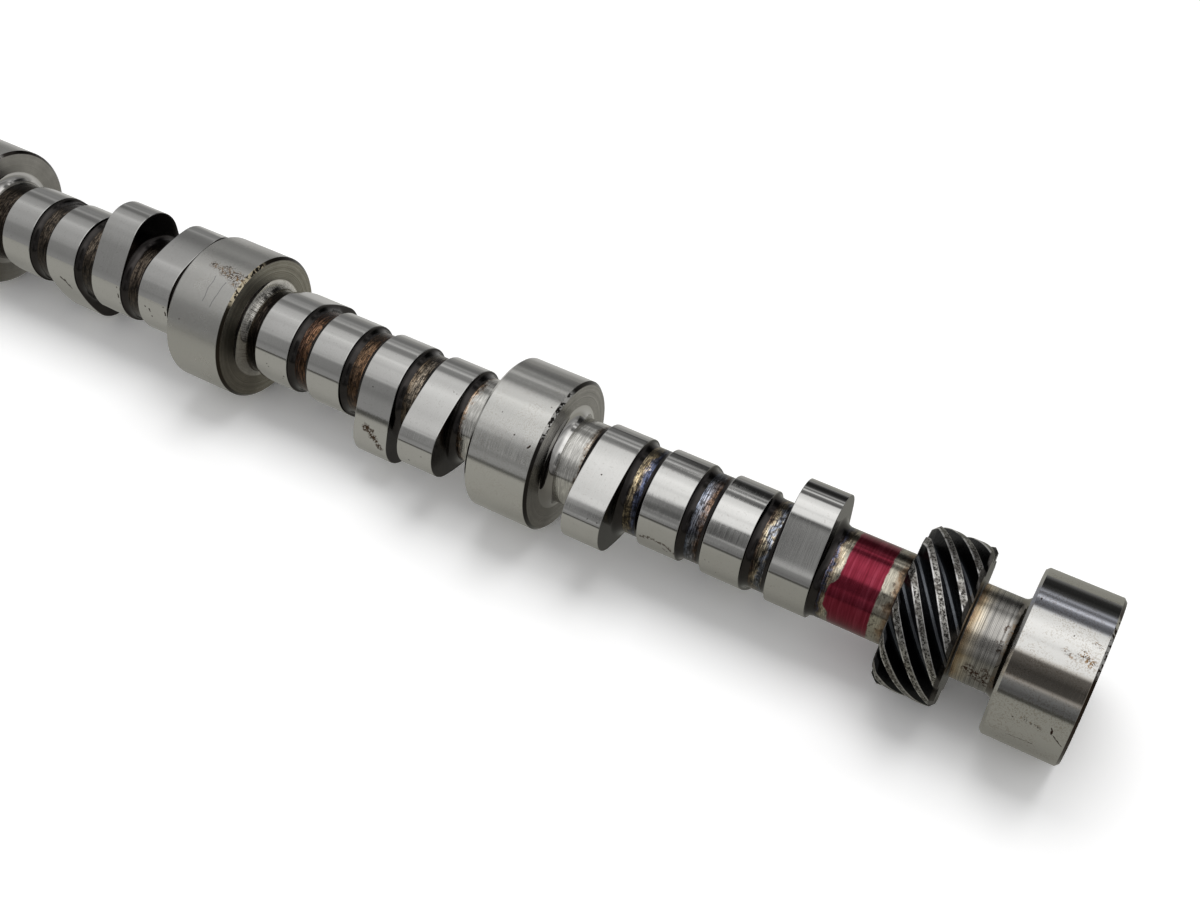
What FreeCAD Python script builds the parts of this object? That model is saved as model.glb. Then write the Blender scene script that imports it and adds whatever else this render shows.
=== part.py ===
"""Camshaft of a pushrod vee eight engine, with roller lobes and a skew gear for the distributor drive.

The shaft lies along X, with its nose at the low end and its gear and last journal at the high end.
The origin is on the axis, in the middle of the first bearing journal. Z points up. Sizes are in
millimetres and degrees.
"""
import FreeCAD, Part
import math
import os

import Sketcher

# Driving sizes
SIZES = {
    # Bearing journals and the shaft between them
    "journal_diameter": 47.45,
    "journal_width": 21.2,
    "journal_pitch": 111.76,
    "journal_chamfer": 0.9,
    "journal_root": 1.8,
    "rear_journal_width": 21.6,
    "shaft_diameter": 26.8,
    # Cam lobes
    "lobe_width": 12.2,
    "base_diameter": 29.7,
    "intake_lift": 8.45,
    "exhaust_lift": 8.0,
    "lobe_nose_radius": 11.0,
    "lobe_flank_radius": 55.0,
    # Clear shaft from a journal to its next lobe, on the outer and the inner side of an engine bay
    "outer_gap": 7.2,
    "inner_gap": 11.46,
    # Cam timing, in degrees of cam turn
    "lobe_separation": 110.0,
    "bank_angle": 90.0,
    # Skew gear
    "gear_gap": 22.7,
    "gear_width": 18.0,
    "gear_diameter": 46.6,
    "gear_teeth": 13,
    "gear_lead": 87.8,
    "tooth_depth": 4.0,
    "tooth_land": 2.15,
    "tooth_flank_angle": 23.0,
    "first_gullet_angle": 9.8,
    "gear_front_chamfer": 2.0,
    "gear_rear_chamfer": 1.2,
    "gear_root": 0.8,
    "neck_diameter": 27.2,
    "neck_length": 12.9,
    # Nose that takes the timing sprocket
    "seat_diameter": 40.0,
    "seat_length": 5.0,
    "pilot_diameter": 21.8,
    "pilot_length": 3.2,
    "nose_chamfer": 0.8,
    "bolt_circle": 30.2,
    "bolt_count": 3,
    "bolt_drill": 6.6,
    "bolt_depth": 22.0,
    # Dowel that indexes the sprocket, pressed into the seat face
    "dowel_diameter": 7.9,
    "dowel_seat": 11.0,
    "dowel_reach": 8.0,
    "dowel_chamfer": 0.7,
    "dowel_bottom_room": 1.5,
    # Lathe centres in both ends
    "centre_mouth": 9.0,
    "centre_drill": 3.2,
    "centre_depth": 9.5,
}

FIRING_ORDER = (1, 8, 4, 3, 6, 5, 7, 2)

# Lobes from front to rear: the cylinder and the valve that each one opens
LOBES = (
    (1, "exhaust"), (2, "exhaust"), (1, "intake"), (2, "intake"),
    (3, "intake"), (4, "intake"), (3, "exhaust"), (4, "exhaust"),
    (5, "exhaust"), (6, "exhaust"), (5, "intake"), (6, "intake"),
    (7, "intake"), (8, "intake"), (7, "exhaust"), (8, "exhaust"),
)
LOBES_PER_BAY = 4

CENTRE = FreeCAD.Vector(0, 0, 0)
ALONG = FreeCAD.Vector(0, 0, 1)
POINT_START = 1
POINT_END = 2
POINT_CENTRE = 3
ORIGIN_POINT = (-1, 1)
UPRIGHT_AXIS = -2
ACROSS_THE_SHAFT = FreeCAD.Vector(1, 0, 0)
NEAR = 1e-4

doc = FreeCAD.newDocument("camshaft")
sheet = doc.addObject("Spreadsheet::Sheet", "Sizes")
for row, (alias, number) in enumerate(SIZES.items(), start=1):
    sheet.set("A%d" % row, alias)
    sheet.set("B%d" % row, str(number))
    sheet.setAlias("B%d" % row, alias)
doc.recompute()


def value_of(expression):
    """What an expression over the sheet comes to now."""
    return float(sheet.evalExpression(expression))


# Stations along the shaft, as expressions over the sheet

def journal_middle(number):
    """Middle of journals 1 to 4, which are evenly pitched."""
    return "(%d * Sizes.journal_pitch)" % (number - 1)


LOBE_PITCH = ("((Sizes.journal_pitch - Sizes.journal_width - Sizes.outer_gap - Sizes.inner_gap"
              " - Sizes.lobe_width) / %d)" % (LOBES_PER_BAY - 1))


def lobe_front(index):
    """Front face of a lobe. Bays 1 and 3 start with the outer gap, bays 2 and 4 with the inner one."""
    bay, place = divmod(index, LOBES_PER_BAY)
    gap = "Sizes.outer_gap" if bay % 2 == 0 else "Sizes.inner_gap"
    return "(%s + Sizes.journal_width / 2 + %s + %d * %s)" % (journal_middle(bay + 1), gap, place, LOBE_PITCH)


GEAR_FRONT = "(%s + Sizes.lobe_width + Sizes.gear_gap)" % lobe_front(len(LOBES) - 1)
GEAR_REAR = "(%s + Sizes.gear_width)" % GEAR_FRONT
REAR_JOURNAL_FRONT = "(%s + Sizes.neck_length)" % GEAR_REAR
REAR_END = "(%s + Sizes.rear_journal_width)" % REAR_JOURNAL_FRONT
FRONT_JOURNAL_FACE = "(-Sizes.journal_width / 2)"
SEAT_FACE = "(%s - Sizes.seat_length)" % FRONT_JOURNAL_FACE
FRONT_END = "(%s - Sizes.pilot_length)" % SEAT_FACE


def lobe_angle(cylinder, valve):
    """Where a lobe's nose points, from upright and turning towards -Y.

    The cylinders fire an eighth of a cam turn apart, the even bank leads by the bank angle, and an
    exhaust lobe stands the lobe separation after its intake lobe.
    """
    step = 360.0 / len(FIRING_ORDER)
    turn = "(%s" % (-step * FIRING_ORDER.index(cylinder))
    if cylinder % 2 == 0:
        turn += " - Sizes.bank_angle"
    if valve == "exhaust":
        turn += " + Sizes.lobe_separation"
    return turn + ")"


# Sketch helpers

def plane_of(body, role):
    return [item for item in body.Origin.OriginFeatures if item.Role == role][0]


def new_sketch(body, name, role, station="0", turn="0", turn_axis=ALONG):
    """A sketch on an origin plane of the body, moved along its normal and turned about an axis."""
    sketch = body.newObject("Sketcher::SketchObject", name)
    sketch.AttachmentSupport = [(plane_of(body, role), "")]
    sketch.MapMode = "FlatFace"
    sketch.AttachmentOffset = FreeCAD.Placement(CENTRE, FreeCAD.Rotation(turn_axis, value_of(turn)))
    sketch.setExpression("AttachmentOffset.Base.z", station)
    sketch.setExpression("AttachmentOffset.Rotation.Angle", turn)
    return sketch


def bind(sketch, name, constraint, expression):
    """Adds a sized constraint and ties it to an expression over the sheet."""
    index = sketch.addConstraint(constraint)
    sketch.renameConstraint(index, name)
    sketch.setExpression("Constraints." + name, expression)


def add_circle(sketch, name, diameter, across="0", up="0"):
    """A circle with its centre and diameter tied to expressions."""
    middle = FreeCAD.Vector(value_of(across), value_of(up), 0)
    circle = sketch.addGeometry(Part.Circle(middle, ALONG, value_of(diameter) / 2), False)
    if across == "0" and up == "0":
        sketch.addConstraint(Sketcher.Constraint("Coincident", circle, POINT_CENTRE, *ORIGIN_POINT))
    else:
        place = Sketcher.Constraint("DistanceX", circle, POINT_CENTRE, middle.x)
        bind(sketch, name + "_across", place, across)
        place = Sketcher.Constraint("DistanceY", circle, POINT_CENTRE, middle.y)
        bind(sketch, name + "_up", place, up)
    bind(sketch, name + "_diameter", Sketcher.Constraint("Diameter", circle, value_of(diameter)), diameter)


def add_polygon(sketch, corners):
    """A closed outline whose corners are pairs of expressions."""
    points = [FreeCAD.Vector(value_of(across), value_of(up), 0) for across, up in corners]
    count = len(points)
    for number in range(count):
        sketch.addGeometry(Part.LineSegment(points[number], points[(number + 1) % count]), False)
    for number in range(count):
        following = (number + 1) % count
        sketch.addConstraint(Sketcher.Constraint("Coincident", number, POINT_END, following, POINT_START))
    for number, (across, up) in enumerate(corners):
        place = Sketcher.Constraint("DistanceX", number, POINT_START, points[number].x)
        bind(sketch, "corner_%d_across" % number, place, across)
        place = Sketcher.Constraint("DistanceY", number, POINT_START, points[number].y)
        bind(sketch, "corner_%d_up" % number, place, up)


def pad(body, name, sketch, length):
    """Material from the sketch towards the rear of the shaft."""
    feature = body.newObject("PartDesign::Pad", name)
    feature.Profile = sketch
    feature.setExpression("Length", length)
    sketch.Visibility = False
    body.Tip = feature
    return feature


def turned_step(body, name, start, length, diameter):
    """One cylindrical step of the shaft."""
    sketch = new_sketch(body, name + "_circle", "YZ_Plane", start)
    add_circle(sketch, "step", diameter)
    return pad(body, name, sketch, length)


# Cam lobe outline

def lobe_sketch(body, name, station, turn, lift):
    """The ground outline of a lobe, with its nose along the sketch's second axis.

    A base circle about the shaft, a nose circle further out and two flank circles that touch both
    from outside make one smooth convex outline.
    """
    base = value_of("Sizes.base_diameter / 2")
    nose = value_of("Sizes.lobe_nose_radius")
    flank = value_of("Sizes.lobe_flank_radius")
    nose_height = value_of("Sizes.base_diameter / 2 + %s - Sizes.lobe_nose_radius" % lift)
    base_to_flank = flank - base
    nose_to_flank = flank - nose
    spread = math.acos((nose_height**2 + base_to_flank**2 - nose_to_flank**2) / (2 * nose_height * base_to_flank))
    flank_across = base_to_flank * math.sin(spread)
    flank_up = base_to_flank * math.cos(spread)
    # Directions, from the first sketch axis, at which the flank arc on the positive side ends
    base_touch = math.atan2(-flank_up, flank_across)
    nose_touch = math.atan2(nose_height - flank_up, flank_across)

    sketch = new_sketch(body, name, "YZ_Plane", station, turn)
    nose_middle = FreeCAD.Vector(0, nose_height, 0)
    right_middle = FreeCAD.Vector(-flank_across, flank_up, 0)
    left_middle = FreeCAD.Vector(flank_across, flank_up, 0)
    arcs = (
        (CENTRE, base, math.pi - base_touch, 2 * math.pi + base_touch),
        (right_middle, flank, base_touch, nose_touch),
        (nose_middle, nose, nose_touch, math.pi - nose_touch),
        (left_middle, flank, math.pi - nose_touch, math.pi - base_touch),
    )
    for middle, radius, start, end in arcs:
        sketch.addGeometry(Part.ArcOfCircle(Part.Circle(middle, ALONG, radius), start, end), False)
    base_arc, right_flank, nose_arc, left_flank = range(len(arcs))
    for first, second in ((0, 1), (1, 2), (2, 3), (3, 0)):
        sketch.addConstraint(Sketcher.Constraint("Tangent", first, POINT_END, second, POINT_START))
    sketch.addConstraint(Sketcher.Constraint("Coincident", base_arc, POINT_CENTRE, *ORIGIN_POINT))
    sketch.addConstraint(Sketcher.Constraint("PointOnObject", nose_arc, POINT_CENTRE, UPRIGHT_AXIS))
    bind(sketch, "base", Sketcher.Constraint("Radius", base_arc, base), "Sizes.base_diameter / 2")
    bind(sketch, "nose", Sketcher.Constraint("Radius", nose_arc, nose), "Sizes.lobe_nose_radius")
    bind(sketch, "right", Sketcher.Constraint("Radius", right_flank, flank), "Sizes.lobe_flank_radius")
    bind(sketch, "left", Sketcher.Constraint("Radius", left_flank, flank), "Sizes.lobe_flank_radius")
    height = Sketcher.Constraint("DistanceY", nose_arc, POINT_CENTRE, nose_height)
    bind(sketch, "nose_height", height, "Sizes.base_diameter / 2 + %s - Sizes.lobe_nose_radius" % lift)
    return sketch


# Edges to bevel

def circle_edges(shape, diameter, stations, height):
    """Names of the circles of one diameter at the given stations, about an axis at one height."""
    names = []
    for number, edge in enumerate(shape.Edges, start=1):
        curve = edge.Curve
        if not isinstance(curve, Part.Circle):
            continue
        on_axis = math.hypot(curve.Center.y, curve.Center.z - height) < NEAR
        right_size = abs(2 * curve.Radius - diameter) < NEAR
        right_place = any(abs(curve.Center.x - station) < NEAR for station in stations)
        if on_axis and right_size and right_place:
            names.append("Edge%d" % number)
    return names


def bevel(body, name, diameter, stations, size, height="0"):
    """Breaks the circles of one diameter at the given stations, or tapers them where they are roots."""
    doc.recompute()
    base = body.Tip
    places = [value_of(station) for station in stations]
    feature = body.newObject("PartDesign::Chamfer", name)
    feature.Base = (base, circle_edges(base.Shape, value_of(diameter), places, value_of(height)))
    feature.setExpression("Size", size)
    body.Tip = feature
    doc.recompute()
    return feature


# The camshaft, one piece of steel

cam = doc.addObject("PartDesign::Body", "camshaft")
cam.Label = "camshaft"

shaft_length = "%s - %s" % (GEAR_REAR, FRONT_JOURNAL_FACE)
turned_step(cam, "shaft", FRONT_JOURNAL_FACE, shaft_length, "Sizes.shaft_diameter")
turned_step(cam, "neck", GEAR_REAR, "Sizes.neck_length", "Sizes.neck_diameter")
turned_step(cam, "gear_blank", GEAR_FRONT, "Sizes.gear_width", "Sizes.gear_diameter")

bevel(cam, "gear_front_bevel", "Sizes.gear_diameter", [GEAR_FRONT], "Sizes.gear_front_chamfer")
bevel(cam, "gear_rear_bevel", "Sizes.gear_diameter", [GEAR_REAR], "Sizes.gear_rear_chamfer")
bevel(cam, "gear_front_root", "Sizes.shaft_diameter", [GEAR_FRONT], "Sizes.gear_root")
bevel(cam, "gear_rear_root", "Sizes.neck_diameter", [GEAR_REAR], "Sizes.gear_root")

# A gullet is a trapezoid through the axis, swept along a helix from ahead of the gear to behind it
AXIAL_PITCH = "(Sizes.gear_lead / Sizes.gear_teeth)"
GULLET_MOUTH = "(%s - Sizes.tooth_land)" % AXIAL_PITCH
FLANK_RUN = "(Sizes.tooth_depth * tan(Sizes.tooth_flank_angle * 1 deg))"
OVERRUN = "(Sizes.tooth_depth / 4)"
OVERRUN_RUN = "(%s / 4)" % FLANK_RUN
GULLET_TOP = "(Sizes.gear_diameter / 2 + %s)" % OVERRUN
GULLET_FLOOR = "(Sizes.gear_diameter / 2 - Sizes.tooth_depth)"
GULLET_MIDDLE = "(%s - %s)" % (GEAR_FRONT, GULLET_MOUTH)
TOP_HALF_WIDTH = "(%s / 2 + %s)" % (GULLET_MOUTH, OVERRUN_RUN)
FLOOR_HALF_WIDTH = "(%s / 2 - %s)" % (GULLET_MOUTH, FLANK_RUN)

for number in range(int(value_of("Sizes.gear_teeth"))):
    turn = "Sizes.first_gullet_angle + %d * 360 / Sizes.gear_teeth" % number
    outline = new_sketch(cam, "gullet_outline_%d" % number, "XZ_Plane", "0", turn, ACROSS_THE_SHAFT)
    add_polygon(outline, (
        ("%s - %s" % (GULLET_MIDDLE, TOP_HALF_WIDTH), GULLET_TOP),
        ("%s - %s" % (GULLET_MIDDLE, FLOOR_HALF_WIDTH), GULLET_FLOOR),
        ("%s + %s" % (GULLET_MIDDLE, FLOOR_HALF_WIDTH), GULLET_FLOOR),
        ("%s + %s" % (GULLET_MIDDLE, TOP_HALF_WIDTH), GULLET_TOP),
    ))
    gullet = cam.newObject("PartDesign::SubtractiveHelix", "gullet_%d" % number)
    gullet.Profile = outline
    gullet.ReferenceAxis = (plane_of(cam, "X_Axis"), [""])
    gullet.Mode = "pitch-height-angle"
    gullet.setExpression("Pitch", "Sizes.gear_lead")
    gullet.setExpression("Height", "Sizes.gear_width + 2 * %s" % GULLET_MOUTH)
    gullet.HasBeenEdited = True
    outline.Visibility = False
    cam.Tip = gullet
    doc.recompute()

# Bearing journals
for number in range(1, 5):
    front = "%s - Sizes.journal_width / 2" % journal_middle(number)
    turned_step(cam, "journal_%d" % number, front, "Sizes.journal_width", "Sizes.journal_diameter")
turned_step(cam, "journal_5", REAR_JOURNAL_FRONT, "Sizes.rear_journal_width", "Sizes.journal_diameter")

# Nose: the seat of the sprocket and the pilot that centres it
turned_step(cam, "sprocket_seat", SEAT_FACE, "Sizes.seat_length", "Sizes.seat_diameter")
turned_step(cam, "sprocket_pilot", FRONT_END, "Sizes.pilot_length", "Sizes.pilot_diameter")

# Cam lobes
for index, (cylinder, valve) in enumerate(LOBES):
    name = "%s_lobe_%d" % (valve, cylinder)
    lift = "Sizes.%s_lift" % valve
    outline = lobe_sketch(cam, name + "_outline", lobe_front(index), lobe_angle(cylinder, valve), lift)
    pad(cam, name, outline, "Sizes.lobe_width")
doc.recompute()

# Bevelled journal rims and nose
journal_fronts = ["%s - Sizes.journal_width / 2" % journal_middle(number) for number in range(1, 5)]
journal_rears = ["%s + Sizes.journal_width / 2" % journal_middle(number) for number in range(1, 5)]
journal_rims = journal_fronts + journal_rears + [REAR_JOURNAL_FRONT, REAR_END]
bevel(cam, "journal_bevels", "Sizes.journal_diameter", journal_rims, "Sizes.journal_chamfer")
bevel(cam, "seat_bevel", "Sizes.seat_diameter", [SEAT_FACE], "Sizes.nose_chamfer")
bevel(cam, "pilot_bevel", "Sizes.pilot_diameter", [FRONT_END], "Sizes.nose_chamfer")

# Tapered roots of the journals
journal_roots = journal_rears + journal_fronts[1:]
bevel(cam, "journal_roots", "Sizes.shaft_diameter", journal_roots, "Sizes.journal_root")
bevel(cam, "rear_journal_root", "Sizes.neck_diameter", [REAR_JOURNAL_FRONT], "Sizes.journal_root")


# Holes in the sprocket seat

def drilled_holes(body, name, sketch, diameter, depth):
    """Drilled holes with a cone at the bottom, from the sketch towards the rear of the shaft."""
    doc.recompute()
    hole = body.newObject("PartDesign::Hole", name)
    hole.Profile = sketch
    hole.ThreadType = "None"
    hole.DepthType = "Dimension"
    hole.DrillPoint = "Angled"
    hole.Reversed = True
    hole.setExpression("Diameter", diameter)
    hole.setExpression("Depth", depth)
    sketch.Visibility = False
    body.Tip = hole
    doc.recompute()
    return hole


bolt_sketch = new_sketch(cam, "bolt_circle", "YZ_Plane", SEAT_FACE)
for number in range(int(value_of("Sizes.bolt_count"))):
    turn = "((%d + 0.5) * 360 deg / Sizes.bolt_count)" % number
    across = "(Sizes.bolt_circle / 2 * sin(%s))" % turn
    up = "(Sizes.bolt_circle / 2 * cos(%s))" % turn
    add_circle(bolt_sketch, "bolt_%d" % number, "Sizes.bolt_drill", across, up)
drilled_holes(cam, "bolt_holes", bolt_sketch, "Sizes.bolt_drill", "Sizes.bolt_depth")

DOWEL_HEIGHT = "(Sizes.bolt_circle / 2)"
dowel_sketch = new_sketch(cam, "dowel_place", "YZ_Plane", SEAT_FACE)
add_circle(dowel_sketch, "dowel", "Sizes.dowel_diameter", "0", DOWEL_HEIGHT)
dowel_hole_depth = "Sizes.dowel_seat + Sizes.dowel_bottom_room"
drilled_holes(cam, "dowel_hole", dowel_sketch, "Sizes.dowel_diameter", dowel_hole_depth)


# Lathe centres

def lathe_centre(body, name, end, inward):
    """A sixty degree cone with a small drilled relief, turned into one end. Inward is + or -."""
    cone = "((Sizes.centre_mouth - Sizes.centre_drill) / 2 / tan(30 deg))"
    tip = "(Sizes.centre_drill / 2 * tan(30 deg))"
    sketch = new_sketch(body, name + "_outline", "XZ_Plane")
    add_polygon(sketch, (
        (end, "0"),
        (end, "Sizes.centre_mouth / 2"),
        ("%s %s %s" % (end, inward, cone), "Sizes.centre_drill / 2"),
        ("%s %s Sizes.centre_depth" % (end, inward), "Sizes.centre_drill / 2"),
        ("%s %s (Sizes.centre_depth + %s)" % (end, inward, tip), "0"),
    ))
    groove = body.newObject("PartDesign::Groove", name)
    groove.Profile = sketch
    groove.ReferenceAxis = (plane_of(body, "X_Axis"), [""])
    groove.Angle = 360
    sketch.Visibility = False
    body.Tip = groove
    doc.recompute()


lathe_centre(cam, "front_centre", FRONT_END, "+")
lathe_centre(cam, "rear_centre", REAR_END, "-")

# The dowel, a separate hardened pin pressed into the seat face

dowel = doc.addObject("PartDesign::Body", "dowel_pin")
dowel.Label = "dowel_pin"
DOWEL_FRONT = "(%s - Sizes.dowel_reach)" % SEAT_FACE
DOWEL_REAR = "(%s + Sizes.dowel_seat)" % SEAT_FACE
pin_sketch = new_sketch(dowel, "pin_circle", "YZ_Plane", DOWEL_FRONT)
add_circle(pin_sketch, "pin", "Sizes.dowel_diameter", "0", DOWEL_HEIGHT)
pad(dowel, "pin", pin_sketch, "Sizes.dowel_reach + Sizes.dowel_seat")
pin_ends = [DOWEL_FRONT, DOWEL_REAR]
bevel(dowel, "pin_bevels", "Sizes.dowel_diameter", pin_ends, "Sizes.dowel_chamfer", DOWEL_HEIGHT)

# Check every object and write each piece
doc.recompute()
for item in doc.Objects:
    if "Invalid" in item.State or "Error" in item.State:
        raise RuntimeError("%s did not compute: %s" % (item.Name, item.State))

os.makedirs("parts", exist_ok=True)
for piece in (cam, dowel):
    shape = piece.Shape
    if shape.isNull() or not shape.isValid() or len(shape.Solids) != 1:
        raise RuntimeError("%s is not one valid solid" % piece.Label)
    shape.exportStep("parts/%s.step" % piece.Label)
    print("%s: %.1f cubic centimetres, %d faces" % (piece.Label, shape.Volume / 1000, len(shape.Faces)))
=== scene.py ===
import bmesh
import bpy
import numpy as np
from math import radians, tan
from mathutils import Matrix, Vector


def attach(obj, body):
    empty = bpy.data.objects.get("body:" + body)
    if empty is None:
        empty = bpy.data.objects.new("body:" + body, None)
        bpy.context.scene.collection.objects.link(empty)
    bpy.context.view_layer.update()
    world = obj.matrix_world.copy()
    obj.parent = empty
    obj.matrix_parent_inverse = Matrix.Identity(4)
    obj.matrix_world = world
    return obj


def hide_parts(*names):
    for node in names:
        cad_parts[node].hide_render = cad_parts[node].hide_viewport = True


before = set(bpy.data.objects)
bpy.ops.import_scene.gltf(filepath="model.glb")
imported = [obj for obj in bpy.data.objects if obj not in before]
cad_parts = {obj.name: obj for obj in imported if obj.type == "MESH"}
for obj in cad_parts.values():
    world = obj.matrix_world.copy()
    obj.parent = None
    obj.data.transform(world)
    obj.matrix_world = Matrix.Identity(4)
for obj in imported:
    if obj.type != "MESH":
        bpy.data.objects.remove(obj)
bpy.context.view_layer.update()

# Shaft between the lobes: the rough-turned blank, 26.8 mm across, which keeps its scale from
# hardening. Straw, brown and blue tints show in the gaps, and one band of red marking paint
# is brushed on ahead of the skew gear.
MM = 0.001
AROUND = 240
SHAFT_OUT = 13.4
SHAFT_FRONT, SHAFT_REAR = 9.0, 456.0
PAINT_FRONT, PAINT_REAR = 435.4, 446.7
PAINT_BULGE = 1.9
TINTS_FRONT, TINTS_MIDDLE, TINTS_REAR = 0.0, 330.0, 460.0
turn = np.linspace(0.0, 2.0 * np.pi, AROUND, endpoint=False)


def placed(name, data):
    """A new object in the scene that holds a mesh, a lamp's data or a camera's."""
    made = bpy.data.objects.new(name, data)
    bpy.context.collection.objects.link(made)
    return made


def rounded(corners, radii, steps=5, guard=0.05):
    """Straight runs through corners (along, out), each corner turned into an arc that touches both runs.

    The arc's centre lies on the bisector, radius over the sine of the half angle from the corner,
    and the arc is swept evenly. A guard point stands just before and after each arc, so that
    smooth shading stays flat on the runs. Further axes in front carry one section each.
    """
    corners = np.asarray(corners, float)
    radii = np.asarray(radii, float)[:, None]
    here = corners[..., 1:-1, :]
    back = corners[..., :-2, :] - here
    ahead = corners[..., 2:, :] - here
    back = back / np.linalg.norm(back, axis=-1, keepdims=True)
    ahead = ahead / np.linalg.norm(ahead, axis=-1, keepdims=True)
    half = 0.5 * np.arccos(np.clip((back * ahead).sum(-1, keepdims=True), -1.0, 1.0))
    first = here + back * radii / np.tan(half)
    last = here + ahead * radii / np.tan(half)
    bisector = (back + ahead) / np.linalg.norm(back + ahead, axis=-1, keepdims=True)
    centre = (here + bisector * radii / np.sin(half))[..., None, :]
    sweep = (np.pi - 2.0 * half)[..., None, :]
    part = np.linspace(0.0, 1.0, steps + 1)[:, None]
    arc = centre + (np.sin((1.0 - part) * sweep) * (first[..., None, :] - centre)
                    + np.sin(part * sweep) * (last[..., None, :] - centre)) / np.sin(sweep)
    rows = np.concatenate([(first + back * guard)[..., None, :], arc,
                           (last + ahead * guard)[..., None, :]], axis=-2)
    rows = rows.reshape(rows.shape[:-3] + (-1, 2))
    return np.concatenate([corners[..., :1, :], rows, corners[..., -1:, :]], axis=-2)


def about(along, out, angle):
    """Points at a place along the axis, and out from it at an angle from the top to the camera's side.

    y is -out * sin(angle) and z is out * cos(angle).
    """
    return np.stack(np.broadcast_arrays(along, -out * np.sin(angle), out * np.cos(angle)), axis=-1)


def skin(name, along, out, angle=turn, kept=None):
    """A closed skin round the shaft's axis, from a grid of rows along it and columns round it.

    The first and last rows lie on the axis and become one pole each. Kept are values for the
    material to read at the points, by name.
    """
    rows, columns = np.broadcast_shapes(along.shape, out.shape, angle.shape)
    along, out, angle = (np.broadcast_to(a, (rows, columns)) for a in (along, out, angle))
    points = about(along, out, angle) * MM
    inner = points[1:-1].reshape(-1, 3)
    count = len(inner)
    points = np.concatenate([inner, points[:1, 0], points[-1:, 0]])
    number = np.arange(count).reshape(rows - 2, columns)
    beside = np.roll(number, -1, axis=1)
    quads = np.stack([number[:-1], beside[:-1], beside[1:], number[1:]], axis=-1).reshape(-1, 4)
    front = np.stack([np.full(columns, count), beside[0], number[0]], axis=-1)
    rear = np.stack([number[-1], beside[-1], np.full(columns, count + 1)], axis=-1)
    mesh = bpy.data.meshes.new(name)
    mesh.from_pydata(points.tolist(), [], quads.tolist() + front.tolist() + rear.tolist())
    for mark, values in (kept or {}).items():
        values = np.broadcast_to(values, (rows, columns))
        values = np.concatenate([values[1:-1].ravel(), values[0, :1], values[-1, :1]])
        mesh.attributes.new(mark, "FLOAT", "POINT").data.foreach_set("value", values.astype(np.float32))
    mesh.shade_smooth()
    return placed(name, mesh)


def turned(name, corners, radii):
    """The same section all round, as a lathe cuts it: rounded corners swept about the axis."""
    rows = rounded(corners, radii)
    return skin(name, rows[:, :1], rows[:, 1:])


def finish_piece(piece, material, solid="camshaft"):
    """Gives a piece its material, hides the imported solid that it stands for, and ties it to the body it
    moves with.
    """
    piece.data.materials.append(material)
    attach(piece, "root")
    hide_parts(solid)


def feed(socket, target):
    """Links what a socket gives to a target socket."""
    socket.id_data.links.new(socket, target)


def node(kind, inputs, tree=None, **settings):
    """Adds one shader node, with its settings by name and its inputs as values or sockets.

    It goes into the tree that is named, or else into that of the first socket among its inputs.
    """
    sockets = [value for value in inputs.values() if isinstance(value, bpy.types.NodeSocket)]
    made = (sockets[0].id_data if tree is None else tree).nodes.new("ShaderNode" + kind)
    for key, value in settings.items():
        setattr(made, key, value)
    for key, value in inputs.items():
        if isinstance(value, bpy.types.NodeSocket):
            feed(value, made.inputs[key])
        else:
            made.inputs[key].default_value = value
    return made


def sums(operation, *values):
    """The result of one Math node."""
    return node("Math", dict(enumerate(values)), operation=operation).outputs[0]


def times(one, other):
    """The product of two values."""
    return sums("MULTIPLY", one, other)


def plus(one, other):
    """The sum of two values."""
    return sums("ADD", one, other)


def scaled(value, factor, added):
    """A value times a factor, plus what is added."""
    return sums("MULTIPLY_ADD", value, factor, added)


def larger(one, other):
    """The larger of two values."""
    return sums("MAXIMUM", one, other)


def ramp(factor, stops):
    """A colour ramp, with its stops as (place, grey) or (place, (red, green, blue))."""
    made = node("ValToRGB", {"Fac": factor})
    elements = made.color_ramp.elements
    while len(elements) < len(stops):
        elements.new(0.5)
    for element, (place, colour) in zip(elements, stops):
        element.position = place
    for element, (place, colour) in zip(elements, stops):
        colour = (colour,) * 3 if isinstance(colour, (int, float)) else colour
        element.color = (*colour, 1.0)
    return made.outputs["Color"]


def blended(factor, low, high, mode="MIX"):
    """Low where the factor is 0 and high where it is 1, by a Mix node for colours."""
    values = {0: factor, 6: low, 7: high}
    values = {key: (*value, 1.0) if isinstance(value, tuple) else value for key, value in values.items()}
    return node("Mix", values, data_type="RGBA", blend_type=mode).outputs[2]


def tinted(one, other):
    """The product of two colours."""
    return blended(1.0, one, other, "MULTIPLY")


def steel(name, colour, roughness, metallic=1.0):
    """A new metal material, its shader and its object coordinates in metres."""
    material = bpy.data.materials.new(name)
    material.use_nodes = True
    shader = material.node_tree.nodes["Principled BSDF"]
    shader.inputs["Base Color"].default_value = (*colour, 1.0)
    shader.inputs["Roughness"].default_value = roughness
    shader.inputs["Metallic"].default_value = metallic
    return material, shader, node("TexCoord", {}, material.node_tree).outputs["Object"]


def grain(place, scale, stretch=(1.0, 1.0, 1.0), detail=3.0, roughness=0.6):
    """Noise over the piece's own coordinates, stretched by axis; scale counts cells per metre."""
    mapped = node("Mapping", {"Vector": place, "Scale": stretch}).outputs[0]
    made = node("TexNoise", {"Vector": mapped, "Scale": scale, "Detail": detail, "Roughness": roughness})
    return made.outputs["Fac"]


def clouded(place, scale):
    """Soft clouds of noise."""
    return grain(place, scale, detail=4.0, roughness=0.65)


def lined(place, lengthwise, crosswise, detail=3.0, roughness=0.6):
    """Noise drawn out into lines, from its cells per metre along the shaft and across it."""
    return grain(place, 1.0, (lengthwise, crosswise, crosswise), detail, roughness)


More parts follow.
